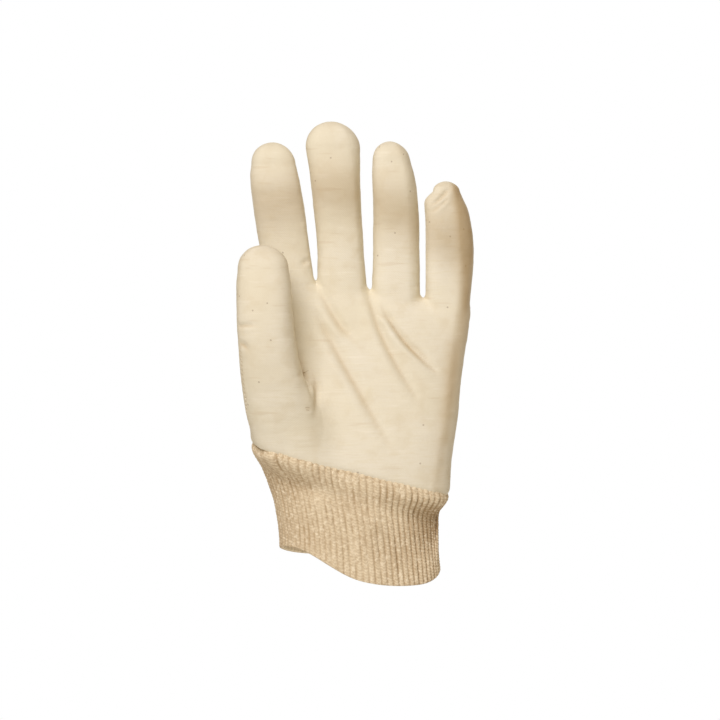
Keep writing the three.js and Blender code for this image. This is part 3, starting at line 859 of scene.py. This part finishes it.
def cloth_material(name, colour, shade):
    """Slubby cotton cloth of two tones with specks, with painted shade and the tacks' painted dark lines."""
    n = Nodes(name)
    place = n.add("TexCoord").outputs["Object"]
    uv = n.add("UVMap", uv_map="cloth").outputs["UV"]
    painted_shade = n.add("Attribute", attribute_name="painted_shade").outputs["Fac"]
    broad = n.noise(place, 26.0, 3.0)
    blotch = n.noise(place, 110.0, 3.0)
    nap = n.noise(place, 250.0, 3.0)
    fine = n.noise(place, 900.0, 2.0)
    slub = n.noise(n.vector("MULTIPLY", uv, (0.35, 3.2, 1.0)), 3.2, 3.0)
    dash = n.noise(n.vector("MULTIPLY", uv, (0.4, 2.6, 1.0)), 1.1, 2.0)
    diagonal = n.add(
        "TexWave",
        {"Vector": uv, "Scale": 5.2, "Distortion": 1.2, "Detail": 2.0, "Detail Scale": 2.0},
        wave_type="BANDS",
        bands_direction="DIAGONAL",
    ).outputs["Fac"]
    speck = n.add("TexVoronoi", {"Vector": uv, "Scale": 1.1}, voronoi_dimensions="2D", feature="F1")
    by_chance = n.add("SeparateColor", {0: speck.outputs["Color"]}).outputs[0]
    dot = n.math("LESS_THAN", speck.outputs["Distance"], 0.055)
    spots = n.math("MULTIPLY", n.math("GREATER_THAN", by_chance, 0.92), dot)
    base = n.mix((*colour, 1), (*shade, 1), n.ramp(broad, 0.35, 0.7))
    base = n.mix(base, (*shade, 1), n.ramp(slub, 0.45, 0.7), 0.75)
    base = n.mix(base, tone(colour, 0.9, 0.86, 0.78), n.ramp(blotch, 0.46, 0.74), 0.6)
    base = n.mix(base, (0.98, 0.93, 0.8, 1), n.ramp(dash, 0.6, 0.73), 0.22)
    base = n.mix(base, (0.6, 0.46, 0.28, 1), n.ramp(dash, 0.38, 0.27), 0.22)
    base = n.mix(base, tone(colour, 0.72, 0.66, 0.55), fine, 0.1)
    base = n.mix(base, (0.3, 0.22, 0.15, 1), spots, 0.45)
    # Dark lines at the tacks: painted shade of their star of fine creases and round the knot, with the
    # stitches.
    for start, end, wide, strength in TACK_LINES:
        depth = front_y((start[0] + end[0]) / 2 + 1, (start[1] + end[1]) / 2)
        base = n.mix(base, (0.3, 0.2, 0.1, 1), n.line(place, start, end, depth, wide), strength)
    # Painted shade, by the value that the cloth's points carry: creases, seams, beside the thumb, finger
    # bends and right sides.
    base = n.mix(base, tone(colour, 0.55, 0.38, 0.17), painted_shade, 0.64)
    relief = n.math("MULTIPLY", diagonal, 0.3)
    for texture, height in ((nap, 1.2), (slub, 0.9), (fine, 0.2)):
        relief = n.math("ADD", relief, n.math("MULTIPLY", texture, height))
    return n.cotton(base, relief, 0.35, 0.25 * MM, 0.06)


def knit_material(name, colour, valley):
    """Knitted cotton with painted shade in the valleys between the ribs and in the waist, with flecks and
    lighter yarn.
    """
    n = Nodes(name)
    place = n.add("TexCoord").outputs["Object"]
    depth = n.add("Attribute", attribute_name="valley").outputs["Fac"]
    broad = n.noise(place, 60.0, 3.0)
    fleck = n.noise(place, 620.0, 2.0)
    fine = n.noise(place, 1500.0, 2.0)
    # Painted shade between the ribs and in the waist, by the points' valley value.
    base = n.mix((*colour, 1), (*valley, 1), depth, 0.9)
    base = n.mix(base, (*valley, 1), n.ramp(broad, 0.4, 0.75), 0.22)
    base = n.mix(base, (*valley, 1), n.ramp(fleck, 0.5, 0.72), 0.35)
    base = n.mix(base, tone(colour, 1.12, 1.16, 1.25), n.ramp(fleck, 0.46, 0.3), 0.6)
    return n.cotton(base, n.math("ADD", fine, fleck), 0.6, 0.4 * MM, 0.08)


def plain_material(name, colour, glow=0.0):
    """One dull colour, with a faint warm glow of its own where glow is above 0."""
    n = Nodes(name)
    n.shader.inputs["Base Color"].default_value = (*colour, 1)
    n.shader.inputs["Roughness"].default_value = 0.9
    n.shader.inputs["Specular IOR Level"].default_value = 0.2
    n.shader.inputs["Emission Color"].default_value = (1, 0.96, 0.9, 1)
    n.shader.inputs["Emission Strength"].default_value = glow
    return n.material


# Settings, operators and panel.


class GloveClothSettings(bpy.types.PropertyGroup):
    """The cloth of the two panels."""

    voxel: FloatProperty(name="Spacing", description="Spacing of the skin's points, in mm", default=1.0)
    thickness: FloatProperty(name="Cloth", description="Thickness of the cloth, in mm", default=1.2)
    unevenness: FloatProperty(name="Unevenness", description="How unevenly the cloth lies", default=0.8)
    wrinkles: FloatProperty(name="Wrinkles", description="Height of the fine wrinkles, in mm", default=0.1)
    seam_depth: FloatProperty(name="Seam depth", description="Depth of the stitch line, in mm", default=0.4)
    seam_welt: FloatProperty(name="Seam welt", description="Rise over the seam, in mm", default=0.3)
    stitch_pitch: FloatProperty(name="Pitch", description="Distance between stitches, in mm", default=2.6)


class GloveKnitSettings(bpy.types.PropertyGroup):
    """The ribbed knit wrist."""

    ribs: IntProperty(name="Ribs", description="Ribs round the wrist", default=74)
    rib_height: FloatProperty(name="Rib height", description="Height of a rib, in mm", default=1.0)
    loop_pitch: FloatProperty(name="Loop pitch", description="Height of a loop, in mm", default=1.5)
    loop_height: FloatProperty(name="Loop height", description="Relief of a loop, in mm", default=0.11)


class GloveThreadSettings(bpy.types.PropertyGroup):
    """The seam thread."""

    length: FloatProperty(name="Length", description="Length of a stitch, in mm", default=1.7)
    radius: FloatProperty(name="Radius", description="Radius of the thread, in mm", default=0.22)


class GloveStageSettings(bpy.types.PropertyGroup):
    """The light, the floor and the camera."""

    key: FloatProperty(name="Key", description="Power of the key light, in watts", default=36.0)
    fill: FloatProperty(name="Fill", description="Power of the light on the back, in watts", default=34.0)
    white: FloatProperty(name="White", description="Strength of the backdrop", default=1.0)
    sky: FloatProperty(name="Sky", description="Strength of the light from all round", default=0.255)
    distance: FloatProperty(name="Distance", description="From camera to glove", default=4.0, unit="LENGTH")


class GLOVE_OT_cloth_panels(bpy.types.Operator):
    """Build the palm panel and the back panel from one cloth skin, with the seam thread along their edge"""

    bl_idname = "glove.cloth_panels"
    bl_label = "Cloth panels and thread"

    def execute(self, context):
        settings = context.scene.glove_cloth
        points, tris = filled_hand(settings.voxel)
        points, tris, hem = cut_along(points, tris, above_hem(points) - HEM_DROP)
        tris = tris[hem[tris].max(1) > 0]
        points, tris = keep(points, tris)
        side = panel_side(points)
        points, tris, side = cut_along(points, tris, side)
        runs = seam_runs(points, tris, side)
        gap, along = near_seam(points, side, runs)
        out = outward(points)
        uv = cloth_uv(points, tris)
        height, dark = cloth_lie(points, out, gap, along, settings)
        lifted = points + out * height[:, None]
        is_palm = side[tris].sum(1) > 0
        # The back panel's two tones are a little darker than the palm panel's: painted shade for the sides
        # that turn from the light.
        for name, slot, chosen, colour, shade in (
            ("palm_panel", "palm_cloth", is_palm, (0.84, 0.785, 0.635), (0.81, 0.745, 0.57)),
            ("back_panel", "back_cloth", ~is_palm, (0.82, 0.765, 0.61), (0.79, 0.725, 0.55)),
        ):
            part_points, part_tris, part_dark = keep(lifted, tris[chosen], dark)
            obj = new_mesh_object(name + "_cloth", part_points, part_tris, uv[chosen].reshape(-1, 2))
            mark_points(obj.data, "painted_shade", part_dark)
            outward_faces(obj)
            sharp_border(obj.data)
            solid = obj.modifiers.new("thickness", "SOLIDIFY")
            solid.thickness = settings.thickness * MM
            solid.offset = -1
            obj.data.materials.append(cloth_material(slot, colour, shade))
            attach(obj, "root")
            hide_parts(name)
        self.thread(context, runs)
        return {"FINISHED"}

    def thread(self, context, runs):
        """Lays the stitches along the open seam down the thumb's outer edge."""
        thread, cloth = context.scene.glove_thread, context.scene.glove_cloth
        clear_of_ends, look_ahead = 1, 0.8
        places, directions, outs = [], [], []
        for line, at in runs:
            stops = np.arange(cloth.stitch_pitch / 2, at[-1] - clear_of_ends, cloth.stitch_pitch)
            middle = points_at(line, at, stops)
            direction = unit(points_at(line, at, stops + look_ahead) - middle)
            out = outward(middle)
            lift = cloth.seam_welt - cloth.seam_depth * 0.6 + thread.radius * 0.5
            chosen = (above_hem(middle) > 3) & (on_thumb_edge(middle) > 0.5)
            places += list((middle + out * lift)[chosen])
            directions += list(direction[chosen])
            outs += list(out[chosen])
        points, faces = stitch_mesh(places, directions, outs, thread.length, thread.radius)
        obj = new_mesh_object("seam_thread", points, faces)
        outward_faces(obj)
        obj.data.materials.append(plain_material("thread", (0.86, 0.79, 0.65)))
        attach(obj, "root")


class GLOVE_OT_knit_wrist(bpy.types.Operator):
    """Build the ribbed knit wrist, with its roll below the hem and its loops"""

    bl_idname = "glove.knit_wrist"
    bl_label = "Knit wrist"

    def execute(self, context):
        settings = context.scene.glove_knit
        columns = settings.ribs * 8
        rows = 136
        share = np.arange(columns) / columns
        phase = (share * settings.ribs + 0.8 * np.sin(4 * np.pi * share)) % 1
        ridge = 1 - np.abs(2 * phase - 1) ** 3.2
        rings, rib_shades = [], []
        self.spread = np.zeros((2, columns))  # hem_spread reads the outline as it is without it
        self.spread = self.hem_spread(columns)
        for down in np.linspace(0, 1, rows):
            x, y, z, nx, ny = self.outline(down, columns)
            place = np.stack([x, y, z], 1)
            drop = seam_height(x, y) - z
            wander = lumps(place, 9, 7, (1, 1, 2))
            clear = 0.62 + 0.43 * smooth(2, 30, x) * smooth(0.02, 0.1, down)
            clear += 0.15 * (1 - smooth(0, 0.035, down))
            strength = np.clip(clear + 0.5 * lumps(place, 4.5, 8, (0.7, 0.7, 4)), 0.15, 1.35)
            bow = np.abs(2 * phase - 1)
            loop = np.cos(2 * np.pi * (drop / settings.loop_pitch + 0.5 * bow + 0.3 * wander))
            rise = settings.rib_height * (ridge - 1) * strength
            rise += settings.loop_height * loop * (0.3 + 0.7 * ridge)
            fuzz = 0.12 * lumps(place, 1.5, 9) + 0.22 * lumps(place, 2.2, 11, (1, 1, 6))
            rise += fuzz + 0.5 * lumps(place, 17, 10)
            inside_rim = 1 - smooth(0.985, 1, down)
            rise = rise * (0.4 + 0.6 * inside_rim) - 0.5 * (1 - inside_rim)
            rings.append(np.stack([x + nx * rise, y + ny * rise, z], 1))
            # Painted shade: dark between the ribs and in the hollows of the waist on both sides.
            waist = smooth(22, 42, x) * smooth(0.08, 0.22, down) * (1 - smooth(0.4, 0.75, down))
            waist = 0.55 * waist + 0.22 * smooth(-24, -40, x) * smooth(0.05, 0.2, down)
            rib_shades.append(np.clip((1 - ridge) * strength + 0.2 * (1 - loop) * ridge + waist, 0, 1))
        # The rings inside, from the rim up: how far down each is, its depth in the wall and its lift in mm.
        wall, past_hem = 2.6, 4
        inside = [(1, 1.9, 0.35), *[(down, wall, 0) for down in (0.985, 0.9, 0.7, 0.5, 0.25, 0.1, 0)]]
        for down, depth, lift in [*inside, (0, wall, past_hem), (0, 1.6, past_hem)]:
            x, y, z, nx, ny = self.outline(down, columns)
            rings.append(np.stack([x - nx * depth, y - ny * depth, z + lift], 1))
            # Painted shade between the ribs inside.
            rib_shades.append(0.5 * (1 - ridge))
        count = len(rings)
        i, j = np.meshgrid(np.arange(count), np.arange(columns), indexing="ij")
        here, nxt = i * columns, (j + 1) % columns
        under = ((i + 1) % count) * columns
        faces = np.stack([here + j, under + j, under + nxt, here + nxt], 2).reshape(-1, 4)
        obj = new_mesh_object("knit_wrist_cloth", np.concatenate(rings), faces)
        mark_points(obj.data, "valley", np.concatenate(rib_shades))
        outward_faces(obj)
        # The second colour is the painted shade between the ribs.
        obj.data.materials.append(knit_material("rib_knit", (0.84, 0.715, 0.5), (0.38, 0.25, 0.12)))
        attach(obj, "root")
        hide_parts("knit_wrist")
        return {"FINISHED"}

    def outline(self, down, columns):
        """The points of one ring of the wrist, and the direction out of it at each."""
        row = {k: float(v) for k, v in read(WRIST_SECTIONS, "down", down).items()}
        width, depth = row["wide"] * WRIST_WIDTH, row["deep"] * WRIST_DEPTH
        px, py = ring_points(width, depth, WRIST_ROUNDNESS, columns)
        turn = np.degrees(np.arctan2(-py / depth, -px / width)) % 360
        wrapped = {
            "turn": np.concatenate([RIM["turn"] - 360, RIM["turn"], RIM["turn"] + 360]),
            "height": np.tile(RIM["height"], 3),
        }
        rim = read(wrapped, "turn", turn)["height"] * WRIST_HEIGHT
        x = px + row["side"] * WRIST_WIDTH
        z = (seam_height(x, py) - HEM_DROP) * (1 - down) + rim * down
        tx, ty = np.roll(px, -1) - np.roll(px, 1), np.roll(py, -1) - np.roll(py, 1)
        size = np.hypot(tx, ty)
        nx, ny = ty / size, -tx / size
        share = 1 - smooth(0.03, 0.3, down)
        hollow = 0.2 * np.maximum(x - 8, 0) * smooth(0.1, 0.7, -ny) * smooth(0.1, 0.35, down)
        hollow *= 1 - smooth(0.5, 0.95, down)
        return x + share * self.spread[0], py + share * self.spread[1] + hollow, z, nx, ny

    def hem_spread(self, columns):
        """How far the top ring moves across and back so that it meets the edge of the cloth."""
        x, y, z, nx, ny = self.outline(0, columns)
        p = np.stack([x, y, z + 1], 1)
        for _ in range(12):
            n = unit(outward(p) * (1, 1, 0))
            under = 0.8 - 0.9 * smooth(0.35, 0.85, -n[:, 1])
            p = p - n * np.clip(hand_distance(p) + under, -2, 2)[:, None] * 0.8
        move = np.stack([p[:, 0] - x, p[:, 1] - y])
        for _ in range(6):
            move = (np.roll(move, 1, axis=1) + 2 * move + np.roll(move, -1, axis=1)) / 4
        return move


class GLOVE_OT_stage(bpy.types.Operator):
    """Set up the floor, the soft light and the camera"""

    bl_idname = "glove.stage"
    bl_label = "Stage"

    def execute(self, context):
        settings = context.scene.glove_stage
        seen_width, eye_height, sensor = 0.3879, 0.1094, 36
        bpy.ops.object.select_all(action="DESELECT")
        bpy.ops.mesh.primitive_plane_add(size=16, location=(0, 0, -0.5))
        floor = context.active_object
        floor.name = "floor"
        floor.data.materials.append(plain_material("floor", (0.6, 0.6, 0.6), 0.32))
        world = bpy.data.worlds.new("soft_light")
        context.scene.world = world
        context.scene.view_settings.view_transform = "Standard"
        world.use_nodes = True
        tree = world.node_tree
        sky = tree.nodes["Background"]
        seen = tree.nodes.new("ShaderNodeBackground")
        warm, white = (1, 0.69, 0.32, 1), (1, 1, 1, 1)
        for shader, colour, strength in ((sky, warm, settings.sky), (seen, white, settings.white)):
            shader.inputs["Color"].default_value = colour
            shader.inputs["Strength"].default_value = strength
        ray = tree.nodes.new("ShaderNodeLightPath")
        both = tree.nodes.new("ShaderNodeMixShader")
        tree.links.new(ray.outputs["Is Camera Ray"], both.inputs[0])
        tree.links.new(sky.outputs[0], both.inputs[1])
        tree.links.new(seen.outputs[0], both.inputs[2])
        tree.links.new(both.outputs[0], tree.nodes["World Output"].inputs["Surface"])
        for name, power, size, colour, place in (
            ("key", settings.key, 1.2, (0.91, 0.91, 0.97), (-0.46, -1.5, 1.36)),
            ("fill", settings.fill, 2.0, (0.85, 0.92, 1.0), (0.6, 2.0, 1.1)),
        ):
            light = bpy.data.lights.new(name, "AREA")
            light.energy, light.size, light.color = power, size, colour
            lamp = add_object(name, light)
            lamp.location = place
            aim = Vector((0, 0, 0.12)) - lamp.location
            lamp.rotation_euler = aim.to_track_quat("-Z", "Y").to_euler()
        camera = bpy.data.cameras.new("camera")
        camera.sensor_width = sensor
        camera.lens = sensor * settings.distance / seen_width
        view = add_object("camera", camera)
        view.location = (0, -settings.distance, eye_height)
        view.rotation_euler = (math.radians(90), 0, 0)
        context.scene.camera = view
        return {"FINISHED"}


class GLOVE_PT_sidebar(bpy.types.Panel):
    """The glove's settings and steps"""

    bl_label = "Cotton work glove"
    bl_idname = "GLOVE_PT_sidebar"
    bl_space_type = "VIEW_3D"
    bl_region_type = "UI"
    bl_category = "Glove"

    def draw(self, context):
        scene = context.scene
        for title, operator, group in (
            ("Cloth", "glove.cloth_panels", scene.glove_cloth),
            ("Thread", None, scene.glove_thread),
            ("Knit wrist", "glove.knit_wrist", scene.glove_knit),
            ("Stage", "glove.stage", scene.glove_stage),
        ):
            box = self.layout.box()
            box.label(text=title)
            for key in group.bl_rna.properties.keys():
                if key not in ("rna_type", "name"):
                    box.prop(group, key)
            if operator:
                box.operator(operator)


SETTINGS = {
    "glove_cloth": GloveClothSettings,
    "glove_knit": GloveKnitSettings,
    "glove_thread": GloveThreadSettings,
    "glove_stage": GloveStageSettings,
}
CLASSES = (*SETTINGS.values(), GLOVE_OT_cloth_panels, GLOVE_OT_knit_wrist, GLOVE_OT_stage, GLOVE_PT_sidebar)


def register():
    for cls in CLASSES:
        bpy.utils.register_class(cls)
    for name, group in SETTINGS.items():
        setattr(bpy.types.Scene, name, PointerProperty(type=group))


def unregister():
    for name in SETTINGS:
        delattr(bpy.types.Scene, name)
    for cls in reversed(CLASSES):
        bpy.utils.unregister_class(cls)


def main():
    register()
    bpy.ops.glove.cloth_panels()
    bpy.ops.glove.knit_wrist()
    bpy.ops.glove.stage()
    bpy.context.view_layer.update()


if __name__ == "__main__":
    main()
